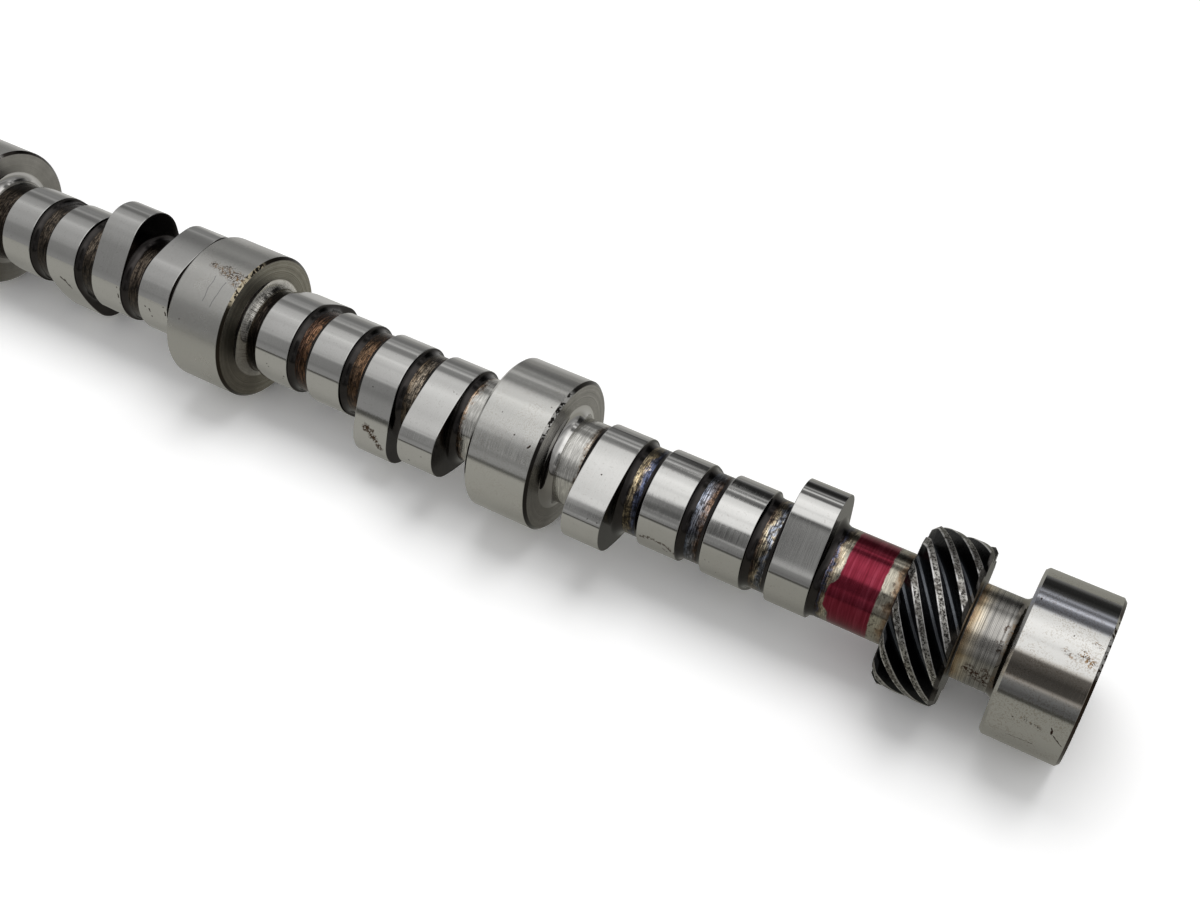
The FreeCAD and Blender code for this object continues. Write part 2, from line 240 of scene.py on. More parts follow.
def ringed_noise(value, detail):
    """Noise of one value alone, such as the distance from the axis."""
    made = node("TexNoise", {"W": value, "Detail": detail}, noise_dimensions="1D")
    return made.outputs[0]


def surface(shader, tone, rough, height, strength, distance):
    """Gives the shader its colour, its roughness and its relief, whose distance is in metres."""
    relief = node("Bump", {"Height": height, "Strength": strength, "Distance": distance})
    for socket, name in ((tone, "Base Color"), (rough, "Roughness"), (relief.outputs[0], "Normal")):
        feed(socket, shader.inputs[name])


def polar(place):
    """Place along the shaft and distance from its axis, in millimetres, and degrees round from the top."""
    x, y, z = node("SeparateXYZ", {0: place}).outputs
    squares = plus(times(y, y), times(z, z))
    out = times(sums("SQRT", squares), 1000.0)
    angle = sums("ARCTAN2", times(y, -1.0), z)
    return times(x, 1000.0), out, times(angle, 180.0 / np.pi)


def step(value, low, high):
    """0 at low and 1 at high, with a smooth rise between them; low may be the larger."""
    return node("MapRange", {0: value, 1: low, 2: high}, interpolation_type="SMOOTHSTEP").outputs[0]


def straight(value, low, high):
    """0 at low and 1 at high, in a straight line between them."""
    return node("MapRange", {0: value, 1: low, 2: high}).outputs[0]


def between(value, rise, fall):
    """1 between the two places where a value rises, from low to high, and falls, from high to low."""
    return times(step(value, *rise), step(value, *fall))


def vector(operation, *values):
    """The vector that one Vector Math node gives."""
    return node("VectorMath", dict(enumerate(values)), operation=operation).outputs[0]


def on(along, degrees, out):
    """A point on a round surface, in metres, from millimetres along and out and degrees round."""
    return about(along, out, radians(degrees)) * MM


def marks(place, spots, ragged=0.0009, soft=0.00010):
    """1 on each mark and 0 off it. A mark is a run between two places on a round surface, with a half width.

    Its distance is that to the nearest point of the run, at the share that the point's shadow
    on the run falls at, kept between 0 and 1. Noise shakes the place, so that the edge is ragged.
    """
    shake = node("TexNoise", {"Vector": place, "Scale": 1100.0, "Detail": 3.0}).outputs["Color"]
    shaken = vector("SUBTRACT", shake, (0.5, 0.5, 0.5))
    moved = vector("MULTIPLY_ADD", shaken, (ragged,) * 3, place)
    total = 0.0
    for out, half, *ends in spots:
        start, end = on(*ends[:2], out), on(*ends[-2:], out)
        offset = vector("SUBTRACT", moved, tuple(start))
        run = end - start
        if run @ run > 0.0:
            shadow = node("VectorMath", {0: offset, 1: tuple(run / (run @ run))}, operation="DOT_PRODUCT")
            share = node("Clamp", {0: shadow.outputs["Value"]}).outputs[0]
            near = node("VectorMath", {0: tuple(run), "Scale": share}, operation="SCALE").outputs[0]
            offset = vector("SUBTRACT", offset, near)
        distance = node("VectorMath", {0: offset}, operation="LENGTH").outputs["Value"]
        total = larger(step(distance, half * MM + soft, half * MM - soft), total)
    return total


shaft_scale, shader, place = steel("shaft_scale", (0.12, 0.10, 0.09), 0.3)
along, _, angle = polar(place)
streaks = lined(place, 2600.0, 240.0, 4.0, 0.7)
clouds = clouded(place, 260.0)
blots = grain(place, 900.0)
drift = scaled(clouds, 6.0, -3.0)
drift = scaled(blots, 2.0, plus(drift, -1.0))
shifted = plus(along, drift)
DARK = (0.035, 0.028, 0.025)
SILVER = (0.55, 0.54, 0.51)
FRONT_TINTS = ((0, DARK), (236, (0.16, 0.13, 0.10)), (239, DARK), (253, DARK), (257, (0.16, 0.09, 0.06)),
               (259, (0.24, 0.13, 0.07)), (261, (0.05, 0.05, 0.06)), (273, DARK), (277, (0.17, 0.11, 0.07)),
               (279, (0.24, 0.14, 0.08)), (281, (0.06, 0.045, 0.04)), (293, DARK), (296, (0.20, 0.15, 0.10)),
               (298, (0.36, 0.31, 0.25)), (300, (0.18, 0.14, 0.10)), (313, (0.08, 0.05, 0.04)),
               (315.4, (0.34, 0.20, 0.10)), (317, SILVER), (330, SILVER))
REAR_TINTS = ((330, SILVER), (354.5, SILVER), (356.5, (0.36, 0.24, 0.14)), (358, (0.10, 0.07, 0.05)),
              (370.3, (0.10, 0.07, 0.05)), (371.6, (0.56, 0.47, 0.32)), (373.6, (0.46, 0.36, 0.22)),
              (374.8, (0.16, 0.19, 0.30)), (377, (0.04, 0.04, 0.07)), (390, (0.03, 0.03, 0.04)),
              (391.6, (0.24, 0.28, 0.36)), (394, (0.42, 0.42, 0.46)), (395.6, (0.26, 0.16, 0.10)),
              (397, (0.05, 0.04, 0.04)), (410, (0.04, 0.035, 0.035)), (412, (0.16, 0.11, 0.08)),
              (413.2, (0.62, 0.52, 0.36)), (414.6, (0.30, 0.36, 0.48)), (416, (0.50, 0.42, 0.28)),
              (418, DARK), (430.2, (0.05, 0.04, 0.035)), (431.4, (0.13, 0.08, 0.05)),
              (432.2, (0.13, 0.16, 0.27)), (433, (0.36, 0.27, 0.18)), (434, (0.60, 0.53, 0.40)),
              (436, (0.46, 0.44, 0.39)), (449, (0.42, 0.39, 0.32)), (450.6, (0.24, 0.16, 0.10)),
              (452, (0.06, 0.05, 0.04)))
front_tint, rear_tint = (
    ramp(straight(shifted, low, high), [((at - low) / (high - low), tone) for at, tone in tints])
    for low, high, tints in ((TINTS_FRONT, TINTS_MIDDLE, FRONT_TINTS),
                             (TINTS_MIDDLE, TINTS_REAR, REAR_TINTS)))
tint = blended(step(along, TINTS_MIDDLE - 1.0, TINTS_MIDDLE + 1.0), front_tint, rear_tint)
# the waists beside journal 4 and ahead of the gear are turned clean of scale
clean = between(shifted, (315.5, 317.0), (356.5, 354.5))
clean = larger(clean, step(shifted, 446.0, 447.0))
clean = larger(clean, times(step(shifted, 432.0, 434.5), 0.7))
# painted shade: away from a band round the top, from about -5 to 50 degrees, the tint darkens to about a
# third, but not on the clean waists
lit = between(angle, (-12.0, 2.0), (62.0, 38.0))
lit_and_shaded = larger(clean, scaled(lit, 0.65, 0.35))
streaked = ramp(streaks, [(0.38, 0.08), (0.46, 0.60), (0.54, 1.1), (0.62, 2.3)])
streaked = blended(scaled(clean, -0.75, 1.0), (1.0, 1.0, 1.0), streaked)
tint = tinted(tinted(tint, streaked), lit_and_shaded)
sooty = times(step(blots, 0.50, 0.62), sums("SUBTRACT", 1.0, clean))
tint = blended(times(sooty, 0.75), tint, (0.02, 0.018, 0.018))
pitting = times(step(blots, 0.56, 0.66), step(shifted, 425.0, 450.0))
tint = blended(times(pitting, 0.7), tint, (0.06, 0.045, 0.035))
# the band of paint: a brushed edge, with a bulge towards the front low on the camera's side
bulge = between(angle, (40.0, 56.0), (92.0, 78.0))
brushed = plus(along, scaled(grain(place, 420.0), 0.9, -0.45))
brushed = scaled(bulge, PAINT_BULGE, brushed)
paint = times(step(brushed, PAINT_FRONT - 0.2, PAINT_FRONT + 0.2),
              step(scaled(bulge, -PAINT_BULGE, brushed), PAINT_REAR + 0.2, PAINT_REAR - 0.2))
bristles = lined(place, 1500.0, 60.0, 3.0, 0.7)
PAINT_TONES = [(0.3, (0.15, 0.010, 0.021)), (0.5, (0.21, 0.018, 0.037)), (0.7, (0.30, 0.044, 0.074))]
feed(scaled(paint, -0.12, 1.0), shader.inputs["Metallic"])
rough = scaled(clean, -0.10, scaled(clouds, 0.22, 0.12))
relief = times(streaks, scaled(clean, -0.8, 1.0))
surface(shader, blended(paint, tint, ramp(bristles, PAINT_TONES)), rough, relief, 0.7, 0.00010)
shaft = turned("shaft", [(SHAFT_FRONT, 0.0), (SHAFT_FRONT, SHAFT_OUT),
                         (SHAFT_REAR, SHAFT_OUT), (SHAFT_REAR, 0.0)], [0.2, 0.2])
finish_piece(shaft, shaft_scale)

# Journals: five bearing journals of one diameter, ground after hardening. Their corners are
# bevelled so that the shaft slides in through the bearings, and a root radius joins each to the shaft.
JOURNAL_OUT = 23.725
JOURNAL_HALF = 10.6
JOURNAL_PITCH = 111.76
REAR_JOURNAL = (482.84, 504.44)
BEVEL = 0.9
JOURNAL_ROOT = 3.0
JOURNAL_STUB = 3.6
BEVEL_ROUND = 0.08
NECK_OUT = 13.6
SUNK = 0.02
ROOT_OUT, NECK_ROOT_OUT = SHAFT_OUT - SUNK, NECK_OUT - SUNK


def ground_band(front, rear):
    """Corners of a journal's rim, front to rear: bevel, ground band, bevel."""
    return [(front, JOURNAL_OUT - BEVEL), (front + BEVEL, JOURNAL_OUT),
            (rear - BEVEL, JOURNAL_OUT), (rear, JOURNAL_OUT - BEVEL)]


def journal(name, front, rear):
    """Section of a journal: root radius, side, bevel, ground band, and the same back down to the axis."""
    return turned(name, [(front - JOURNAL_STUB, 0.0), (front - JOURNAL_STUB, ROOT_OUT), (front, ROOT_OUT),
                         *ground_band(front, rear), (rear, ROOT_OUT),
                         (rear + JOURNAL_STUB, ROOT_OUT), (rear + JOURNAL_STUB, 0.0)],
                  [0.01, JOURNAL_ROOT, 0.06, BEVEL_ROUND, BEVEL_ROUND, 0.06, JOURNAL_ROOT, 0.01])


def lighter(colour, factor):
    """A colour made lighter or darker by one factor, or by one for each channel."""
    return tuple(float(value) for value in np.multiply(colour, factor))


def on_rim(*spots):
    """Marks at the distance of a journal's rim from the axis."""
    return [(JOURNAL_OUT, *spot) for spot in spots]


def ground(name, rear, colour, roughness, side_colour, cove_colour, bevel_colour,
           chip_glint_colour=(0.70, 0.69, 0.66), spots=(), cracks=(), patched=(), tints=(),
           lines=0.5, mottle=0.08, rings=0.8, freckles=0.25, grime=0.0):
    """Ground steel with the fine lines of the wheel round it, a faint mottle, freckles and marks.

    Inside the bevel the side is as turned, with rings about the axis, and its cove is smoother,
    with grime down it; low on the camera's side it is darkened as painted shade. The rear bevel is
    dark, with bright chips of their own colour where it faces up, partly wear and partly painted glints.
    Spots are dark pits, cracks are faint lines, patched places are broken up into rust and pits,
    and a tint colours a band between two angles from the top with a painted reflection colour.
    Rear is the place of the rear side.
    """
    material, shader, place = steel(name, colour, roughness)
    along, out, angle = polar(place)
    wheel = lined(place, 9000.0, 60.0, 2.0)
    patches = clouded(place, 150.0)
    fine = grain(place, 1500.0, roughness=0.7)
    dots = grain(place, 2300.0, detail=2.0)
    chips = grain(place, 800.0, detail=2.0)
    tone = blended(patches, lighter(colour, 1.0 - mottle), lighter(colour, 1.0 + mottle))
    freckled = times(step(dots, 0.50, 0.60), freckles)
    freckled = times(freckled, step(patches, 0.36, 0.58))
    tone = blended(freckled, tone, lighter(colour, (0.62, 0.56, 0.49)))
    # painted reflection colours: each tint colours a band between two angles from the top
    for low, high, tint in tints:
        band = between(angle, (low - 3.0, low + 3.0), (high + 3.0, high - 3.0))
        tone = blended(band, tone, tinted(tone, tint))
    cells = node("TexVoronoi", {"Vector": place, "Scale": 170.0}, feature="DISTANCE_TO_EDGE")
    scratch = times(step(cells.outputs["Distance"], 0.010, 0.0), step(patches, 0.48, 0.60))
    scratch = times(scratch, step(angle, 55.0, 75.0))
    tone = blended(times(scratch, 0.35), tone, lighter(colour, 0.5))
    ring = ringed_noise(times(out, 1.5), 4.0)
    ringed = ramp(ring, [(0.34, 0.45), (0.48, 0.9), (0.56, 1.2), (0.66, 2.3)])
    side_tone = blended(patches, lighter(side_colour, 0.6), lighter(side_colour, 1.4))
    side_tone = blended(rings, side_tone, tinted(side_tone, ringed))
    cove = step(out, SHAFT_OUT + 3.3, SHAFT_OUT + 2.7)
    dirt = ringed_noise(times(angle, 0.5), 3.0)
    dirt = times(step(scaled(out, -0.05, dirt), -0.26, -0.20), grime)
    side_tone = blended(cove, side_tone, blended(dirt, cove_colour, (0.03, 0.025, 0.02)))
    # painted shade: sides and coves are darkened low on the camera's side, between about 66 and 130 degrees
    painted_shade_below = between(angle, (38.0, 66.0), (175.0, 130.0))
    side_tone = blended(times(painted_shade_below, 0.62), side_tone,
                        blended(patches, (0.03, 0.022, 0.015), (0.12, 0.10, 0.08)))
    side = step(out, JOURNAL_OUT - BEVEL + 0.1, JOURNAL_OUT - BEVEL - 0.1)
    # bright chips on the rear bevel only where it faces up: partly wear, partly painted glints
    upper = between(angle, (-16.0, -8.0), (36.0, 26.0))
    chips_and_glints = times(upper, step(chips, 0.44, 0.49))
    bevel_tone = blended(patches, bevel_colour, lighter(bevel_colour, 1.6))
    bevel_tone = blended(chips_and_glints, bevel_tone, chip_glint_colour)
    tone = blended(step(along, rear - BEVEL - 0.05, rear - BEVEL + 0.10), tone, bevel_tone)
    tone = blended(side, tone, side_tone)
    if patched:
        broken = times(marks(place, patched, 0.0022, 0.0009),
                       step(blended(0.5, fine, dots), 0.48, 0.53))
        rust = blended(step(chips, 0.40, 0.60), (0.05, 0.028, 0.016), (0.26, 0.165, 0.085))
        tone = blended(broken, tone, rust)
    if cracks:
        cracked = times(marks(place, cracks, 0.0004, 0.00008), 0.5)
        tone = blended(cracked, tone, (0.10, 0.10, 0.115))
    if spots:
        tone = blended(marks(place, spots), tone, (0.035, 0.016, 0.010))
    rough = scaled(patches, 0.10, roughness - 0.05)
    dull = times(side, sums("SUBTRACT", 1.0, cove))
    rough = scaled(cove, 0.08 - roughness, scaled(dull, 0.14, rough))
    surface(shader, tone, rough, wheel, lines, 0.00002)
    return material


SATIN = ((0.57, 0.565, 0.54), 0.18, (0.32, 0.31, 0.29), (0.60, 0.59, 0.57), (0.035, 0.03, 0.027))
middles = [number * JOURNAL_PITCH for number in range(4)]
finishes = [ground("journal_steel_%d" % (number + 1), middles[number] + JOURNAL_HALF, *SATIN, rings=0.25)
            for number in range(2)]
CRACKS = (((224.2, 15.8), (224.5, 21.0), (224.1, 26.5), (224.5, 32.0), (224.3, 37.3)),
          ((228.7, 17.5), (228.3, 23.0), (228.2, 28.5), (227.8, 34.0), (227.6, 39.2)))
finishes.append(ground(
    "journal_steel_3", middles[2] + JOURNAL_HALF, (0.53, 0.525, 0.50), 0.26, (0.29, 0.275, 0.23),
    (0.85, 0.83, 0.77), (0.022, 0.018, 0.013), (0.82, 0.72, 0.52),
    mottle=0.10, freckles=0.2, rings=1.0, grime=1.0,
    cracks=on_rim(*((0.15, *start, *end) for path in CRACKS for start, end in zip(path, path[1:]))),
    spots=on_rim((0.22, 218.1, 57.1), (0.16, 220.9, 8.0)),
    patched=on_rim((0.9, 220.6, 7.6, 226.5, 8.6), (2.0, 226.0, 8.5, 231.8, 10.5),
                   (0.8, 230.0, 14.0, 232.6, 18.0))))
finishes.append(ground(
    "journal_steel_4", middles[3] + JOURNAL_HALF, (0.60, 0.595, 0.57), 0.115, (0.34, 0.33, 0.31),
    (0.66, 0.65, 0.63), (0.022, 0.02, 0.018), mottle=0.06,
    spots=on_rim((0.2, 331.1, 25.8), (0.23, 337.4, 37.0), (0.28, 343.2, 40.2, 342.6, 42.0),
                 (0.21, 343.4, 8.7))))
for number in (1, 2, 3):
    middle = middles[number]
    piece = journal("journal_%d" % (number + 1), middle - JOURNAL_HALF, middle + JOURNAL_HALF)
    finish_piece(piece, finishes[number])

# Lobes: sixteen roller cam lobes, two per cylinder, hardened and ground to a mirror on their
# rims. The sides and roots are left as turned and stay black from the heat treatment.
LOBE_WIDTH = 12.2
LOBE_PITCH = 19.9
BASE_OUT = 14.85
NOSE_RADIUS = 11.0
FLANK_RADIUS = 55.0
COVE_REACH = (1.8, 2.7)
COVE_HIGH = 2.4
LEAST_SIDE = 0.32
BROKEN_EDGE = 0.2
LIFT = {"exhaust": 8.0, "intake": 8.45}
BAY_STARTS = (17.8, 133.82, 241.32, 357.34)
NOSES = (("exhaust", 110), ("exhaust", 65), ("intake", 0), ("intake", 315),
         ("intake", 225), ("intake", 180), ("exhaust", 335), ("exhaust", 290),
         ("exhaust", 245), ("exhaust", 200), ("intake", 135), ("intake", 90),
         ("intake", 90), ("intake", 225), ("exhaust", 200), ("exhaust", 335))


def lobe_outline(lift, nose_at):
    """Distance from the axis all round a lobe.

    A nose circle is joined to the base circle by two flank arcs that touch both. Each ray from
    the axis meets its arc at the far root of |out * ray - centre| = radius.
    """
    away = np.abs((turn - nose_at + np.pi) % (2.0 * np.pi) - np.pi)
    ray = np.stack([np.cos(away), np.sin(away)], axis=-1)
    nose = np.array([BASE_OUT + lift - NOSE_RADIUS, 0.0])
    reach_base = FLANK_RADIUS - BASE_OUT
    reach_nose = FLANK_RADIUS - NOSE_RADIUS
    along = (nose[0] ** 2 + reach_base ** 2 - reach_nose ** 2) / (2.0 * nose[0])
    flank = np.array([along, -np.sqrt(reach_base ** 2 - along ** 2)])
    base_touch = np.arctan2(-flank[1], -flank[0])
    touch = nose + NOSE_RADIUS * (nose - flank) / reach_nose
    nose_touch = np.arctan2(touch[1], touch[0])

    def far_root(centre, radius):
        reach = ray @ centre
        return reach + np.sqrt(np.maximum(reach ** 2 - centre @ centre + radius ** 2, 0.0))

    return np.where(away < nose_touch, far_root(nose, NOSE_RADIUS),
                    np.where(away < base_touch, far_root(flank, FLANK_RADIUS), BASE_OUT))


def lobe(name, front, lift, nose_at):
    """A lobe's section at every angle: cove, side, broken edge, rim, and the same again at the rear.

    Each cove is a quarter ellipse that leaves the shaft along it and meets the side upright. It
    is as high as the side allows, so it shrinks where the rim comes down to the base circle.
    """
    rim = lobe_outline(lift, nose_at)
    bend = np.linspace(0.0, np.pi / 2.0, 13)[:, None]
    high = np.minimum(COVE_HIGH, rim - ROOT_OUT - LEAST_SIDE)
    ones = np.ones_like(rim)
    parts = []
    for station, sign, reach in ((front, -1.0, COVE_REACH[0]), (front + LOBE_WIDTH, 1.0, COVE_REACH[1])):
        cove_x = station + sign * reach * (1.0 - np.sin(bend)) * ones
        cove_r = ROOT_OUT + high * (1.0 - np.cos(bend))
        edge = rounded(np.stack([np.stack([station * ones, ROOT_OUT + high + 0.02], axis=-1),
                                 np.stack([station * ones, rim], axis=-1),
                                 np.stack([(station - sign * 1.0) * ones, rim], axis=-1)], axis=1),
                       [BROKEN_EDGE], steps=4, guard=0.04)
        end = np.stack([ones * (station + sign * reach), np.zeros_like(rim)])
        x = np.concatenate([end[:1], cove_x, edge[..., 0].T])
        r = np.concatenate([end[1:], cove_r, edge[..., 1].T])
        parts.append((x, r) if sign < 0.0 else (x[::-1], r[::-1]))
    x = np.concatenate([part[0] for part in parts])
    r = np.concatenate([part[1] for part in parts])
    return skin(name, x, r, kept={"side": np.clip((rim - 0.03 - r) / 0.12, 0.0, 1.0)})


def point_value(shader, name):
    """A value that the mesh keeps at its points, for the material to read."""
    return node("Attribute", {}, shader.id_data, attribute_name=name).outputs["Fac"]


lobe_ground, shader, place = steel("lobe_ground", (0.62, 0.61, 0.60), 0.1)
side = point_value(shader, "side")
patches = clouded(place, 180.0)
fine = grain(place, 1600.0, roughness=0.7)
tone = blended(patches, (0.56, 0.555, 0.535), (0.62, 0.615, 0.60))
tone = blended(times(step(fine, 0.58, 0.70), 0.25), tone, (0.28, 0.26, 0.23))
# pits and rust, as distance out and half width, then place along and angle at one or both ends
PITS = ((18.2, 0.40, 285.9, 97.5), (19.4, 0.35, 288.6, 104.5), (20.6, 0.3, 290.6, 109.0),
        (14.85, 0.2, 285.3, 51.4), (14.85, 0.22, 245.9, 80.7), (14.85, 0.2, 246.6, 84.0),
        (14.85, 0.26, 252.2, 90.0), (14.85, 0.2, 251.6, 94.0), (16.3, 0.26, 363.6, 39.2),
        (22.4, 0.19, 365.2, 74.7), (22.3, 0.2, 368.2, 74.3), (23.2, 0.26, 305.1, 93.2),
        (23.1, 0.15, 309.7, 84.0), (15.0, 0.12, 310.5, 19.7), (15.0, 0.12, 311.7, 20.5),
        (14.85, 0.16, 399.0, 85.3), (14.85, 0.14, 400.2, 85.9), (14.85, 0.16, 402.5, 99.0),
        (14.85, 0.35, 159.3, 88.4, 160.6, 92.0), (14.85, 0.35, 161.0, 90.0, 161.9, 100.0),
        (14.88, 0.3, 162.1, 97.0, 162.4, 104.0), (14.85, 0.22, 184.4, 66.0),
        (14.85, 0.25, 185.0, 74.5, 185.2, 79.0), (14.85, 0.22, 185.4, 88.0), (14.85, 0.22, 204.1, 66.0),
        (14.85, 0.25, 204.9, 71.5, 205.1, 75.0), (14.85, 0.3, 196.5, 74.7),
        (14.85, 0.26, 198.2, 76.5, 198.6, 79.0), (14.85, 0.3, 199.0, 85.9))
RUST = ((18.4, 1.2, 285.4, 97.5, 287.6, 100.5), (19.4, 1.0, 288.2, 103.0, 289.6, 106.5),
        (20.7, 0.8, 290.3, 109.0, 291.5, 110.8), (14.85, 0.4, 378.6, 93.0, 381.4, 89.0),
        (14.85, 0.38, 382.2, 89.0, 387.0, 91.5), (14.85, 0.45, 387.4, 92.5, 388.9, 99.0),
        (14.85, 0.35, 386.2, 99.0, 386.8, 101.0))
tone = blended(marks(place, PITS, ragged=0.0007), tone, (0.03, 0.016, 0.011))
blotch = times(marks(place, RUST, 0.0022, 0.0004), step(fine, 0.40, 0.47))
tone = blended(blotch, tone, (0.075, 0.045, 0.027))
scale_tone = blended(patches, (0.018, 0.017, 0.017), (0.066, 0.060, 0.057))
wheel = lined(place, 7000.0, 50.0, 2.0)
rough = scaled(side, 0.10, scaled(patches, 0.07, 0.025))
surface(shader, blended(side, tone, scale_tone), rough, wheel, 0.35, 0.00002)
for index, (valve, nose_angle) in enumerate(NOSES):
    bay, spot = divmod(index, 4)
    piece = lobe("lobe_%02d_%s" % (index + 1, valve), BAY_STARTS[bay] + LOBE_PITCH * spot,
                 LIFT[valve], radians(nose_angle))
    finish_piece(piece, lobe_ground)

# Skew gear: thirteen right-hand teeth hobbed into a collar of the shaft, which drive the
# distributor and oil pump. Both ends are bevelled, and the lands are worn bright at their edges.
GEAR_FRONT = 451.94
GEAR_REAR = 469.94
GEAR_OUT = 23.3
TEETH = 13
LEAD = 87.8
TOOTH_DEPTH = 4.0
TOOTH_LAND = 2.15
FLANK_ANGLE = radians(23.0)
FRONT_BEVEL = 2.0
REAR_BEVEL = 1.2
GEAR_ROOT = 0.8
LAND_AT = (462.28, radians(25.2))


def skew_gear(name):
    """One tooth space's section along the axis, repeated round the gear and carried along the helix.

    A column keeps its place in the tooth space, so its angle grows with its place along the
    axis by one turn per lead. The end bevels cut the section off at a cone.
    """
    pitch = LEAD / TEETH
    slope = TOOTH_DEPTH * tan(FLANK_ANGLE)
    low = GEAR_OUT - TOOTH_DEPTH
    land = TOOTH_LAND / 2.0
    tooth = rounded([(0.0, GEAR_OUT), (land, GEAR_OUT), (land + slope, low), (pitch - land - slope, low),
                     (pitch - land, GEAR_OUT), (pitch, GEAR_OUT)], [0.22, 0.5, 0.5, 0.22], guard=0.06)
    tooth = tooth[:-1]
    across = (tooth[:, 0] + pitch / 2.0) % pitch - pitch / 2.0
    spread = (tooth[:, 0] + pitch * np.arange(TEETH)[:, None]).ravel()
    height = np.tile(tooth[:, 1], TEETH)
    bevels = np.linspace(0.0, 1.0, 9)
    middle = np.linspace(GEAR_FRONT + FRONT_BEVEL + 0.3, GEAR_REAR - REAR_BEVEL - 0.3, 40)
    along = np.concatenate([GEAR_FRONT + FRONT_BEVEL * bevels, [GEAR_FRONT + FRONT_BEVEL + 0.06], middle,
                            [GEAR_REAR - REAR_BEVEL - 0.06], GEAR_REAR - REAR_BEVEL * bevels[::-1]])
    cone = np.minimum(GEAR_OUT - FRONT_BEVEL + (along - GEAR_FRONT),
                      GEAR_OUT - REAR_BEVEL + (GEAR_REAR - along))
    body = np.minimum(height, np.minimum(cone, GEAR_OUT)[:, None])
    fillet = np.linspace(0.0, np.pi / 2.0, 6)
    part = np.array([0.01, 0.5, 0.99])[:, None]

    def end(station, shaft_out, outline, sign):
        """Rows from the axis to the rim of one end: pole, shaft, root radius and face."""
        ring = np.stack([station + sign * GEAR_ROOT * (1.0 - np.sin(fillet)),
                         shaft_out + GEAR_ROOT * (1.0 - np.cos(fillet))], axis=-1)
        stub = station + sign * (GEAR_ROOT + 0.5)
        ring = np.concatenate([[(stub, 0.0), (stub, shaft_out)], ring])
        face = ring[-1, 1] + part * (outline - ring[-1, 1])
        places = np.concatenate([ring[:, :1], np.full((3, 1), station)])
        outs = np.concatenate([np.broadcast_to(ring[:, 1:], (len(ring), len(outline))), face])
        return places, outs

    front_x, front_r = end(GEAR_FRONT, ROOT_OUT, body[0], -1.0)
    rear_x, rear_r = end(GEAR_REAR, NECK_ROOT_OUT, body[-1], 1.0)
    x = np.concatenate([front_x, along[:, None], rear_x[::-1]])
    out = np.concatenate([front_r, body, rear_r[::-1]])
    angle = LAND_AT[1] + 2.0 * np.pi * (x - LAND_AT[0] + spread) / LEAD
    depth = np.broadcast_to((GEAR_OUT - height) / TOOTH_DEPTH, out.shape)
    across = np.broadcast_to(np.tile(across / land, TEETH), out.shape)
    return skin(name, x, out, angle, {"depth": depth, "across": across})


gear_steel, shader, place = steel("gear_steel", (0.3, 0.3, 0.3), 0.35)
along, _, _ = polar(place)
depth, across = point_value(shader, "depth"), point_value(shader, "across")
pits = grain(place, 1500.0, roughness=0.7)
patches = clouded(place, 320.0)
land_tone = blended(step(pits, 0.44, 0.56), (0.46, 0.45, 0.42), (0.035, 0.032, 0.030))
stained = blended(0.7, land_tone, (0.10, 0.09, 0.08))
land_tone = blended(step(patches, 0.44, 0.66), land_tone, stained)
rubbed = times(step(across, 0.45, 0.80), step(patches, 0.62, 0.44))
rubbed = larger(rubbed, times(step(across, -0.70, -0.95), 0.5))
flank_tone = blended(patches, (0.010, 0.010, 0.011), (0.035, 0.036, 0.038))
floor_tone = blended(patches, (0.05, 0.055, 0.062), (0.15, 0.16, 0.175))
tone = blended(rubbed, land_tone, (0.80, 0.79, 0.78))
tone = blended(step(depth, 0.03, 0.08), tone, flank_tone)
tone = blended(step(depth, 0.72, 0.98), tone, floor_tone)
ends = larger(step(along, GEAR_FRONT + 0.5, GEAR_FRONT + 0.1),
              step(along, GEAR_REAR - REAR_BEVEL - 0.2, GEAR_REAR - REAR_BEVEL + 0.2))
tone = blended(ends, tone, blended(pits, (0.02, 0.02, 0.02), (0.16, 0.15, 0.14)))
surface(shader, tone, scaled(pits, 0.30, 0.16), pits, 0.6, 0.00015)
piece = skew_gear("skew_gear")
finish_piece(piece, gear_steel)

# Neck: the bare shaft between the gear and the rear journal, turned and left with the lines of
# the tool. It is straw and brown beside the gear, and rust has begun in a few places.
NECK_FRONT, NECK_REAR = 466.0, 486.0
neck_steel, shader, place = steel("neck_steel", (0.35, 0.33, 0.30), 0.3)
along, _, angle = polar(place)
lathe = lined(place, 4200.0, 28.0, 3.0, 0.75)
fine = grain(place, 1500.0, roughness=0.7)
patches = clouded(place, 300.0)
shifted = plus(along, scaled(patches, 3.0, -1.5))
tint = ramp(straight(shifted, 469.0, 484.0),
            [(0.0, (0.04, 0.03, 0.025)), (0.09, (0.20, 0.12, 0.07)), (0.16, (0.50, 0.38, 0.24)),
             (0.26, (0.58, 0.52, 0.42)), (0.42, (0.40, 0.385, 0.36)), (0.80, (0.34, 0.33, 0.31)),
             (0.90, (0.20, 0.15, 0.11)), (0.97, (0.08, 0.05, 0.04))])
tint = tinted(tint, ramp(lathe, [(0.34, 0.32), (0.5, 1.0), (0.66, 1.65)]))
